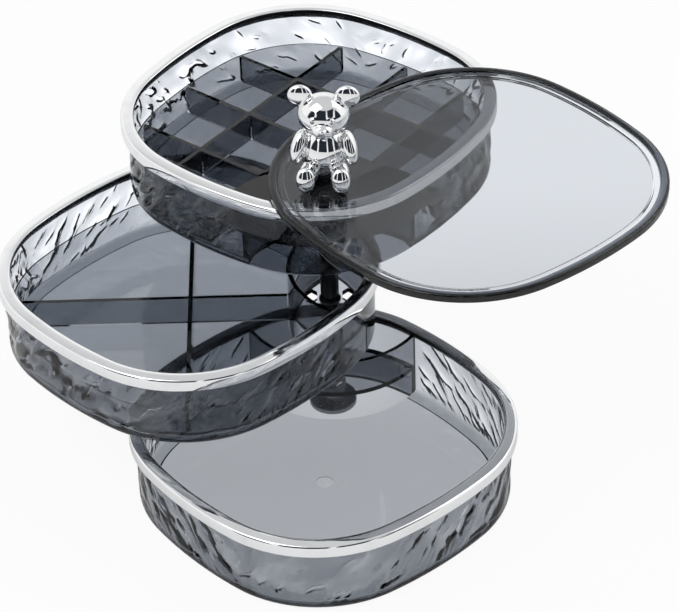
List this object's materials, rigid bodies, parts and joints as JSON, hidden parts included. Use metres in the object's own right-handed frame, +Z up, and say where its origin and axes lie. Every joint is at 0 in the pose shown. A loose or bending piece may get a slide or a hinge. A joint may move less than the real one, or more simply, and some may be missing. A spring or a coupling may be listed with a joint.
{
  "type": "jewelry box",
  "caption": "Rotating jewelry box: smoked clear rounded-square trays with chrome rims and a clear lid fan out round a corner post, with dividers inside and a chrome bear as the lid's knob.",
  "frame": {"origin": "the pivot axis where it meets the surface that the box stands on, at the centre of the post's flat foot", "axes": "+Z up along the pivot axis; +X towards the lid's far corner, about 5 degrees off, and -Y towards the bottom tray's far corner, in the open pose of the picture"},
  "size_m": [0.2524, 0.2502, 0.1449],
  "materials": {
    "smoked_plastic": "clear, smoked grey-blue, polished, with a water-ripple texture on the walls",
    "clear_plastic": "clear, light grey, polished",
    "chrome": "mirror chrome",
    "dark_plastic": "polished dark grey",
    "steel": "turned steel",
    "nylon": "natural nylon"
  },
  "bodies": {
    "base": {"bottom_tray": "smoked_plastic", "bottom_rim": "chrome", "pivot_post": "steel", "lower_column": "dark_plastic", "lower_washer": "nylon", "upper_column": "dark_plastic", "upper_washer": "nylon", "lid_washer": "nylon", "shaft_nut": "steel"},
    "middle_level": {"middle_tray": "smoked_plastic", "middle_rim": "chrome", "middle_liner": "smoked_plastic", "middle_divider_long": "smoked_plastic", "middle_divider_cross": "smoked_plastic"},
    "top_level": {"top_tray": "smoked_plastic", "top_rim": "chrome", "top_liner": "smoked_plastic", "top_slat_left_1": "smoked_plastic", "top_slat_left_2": "smoked_plastic", "top_slat_left_3": "smoked_plastic", "top_slat_right_1": "smoked_plastic", "top_slat_right_2": "smoked_plastic", "top_slat_right_3": "smoked_plastic"},
    "lid_level": {"lid_panel": "clear_plastic", "lid_collar": "dark_plastic", "knob_figure": "chrome", "knob_screw": "steel"}
  },
  "joints": [
    {"name": "middle_tray_turn", "type": "hinge", "parent": "base", "child": "middle_level", "pos_m": [0, 0, 0.05], "axis": [0, 0, 1], "continuous": true},
    {"name": "top_tray_turn", "type": "hinge", "parent": "base", "child": "top_level", "pos_m": [0, 0, 0.085], "axis": [0, 0, 1], "continuous": true},
    {"name": "lid_turn", "type": "hinge", "parent": "base", "child": "lid_level", "pos_m": [0, 0, 0.104], "axis": [0, 0, 1], "continuous": true}
  ]
}
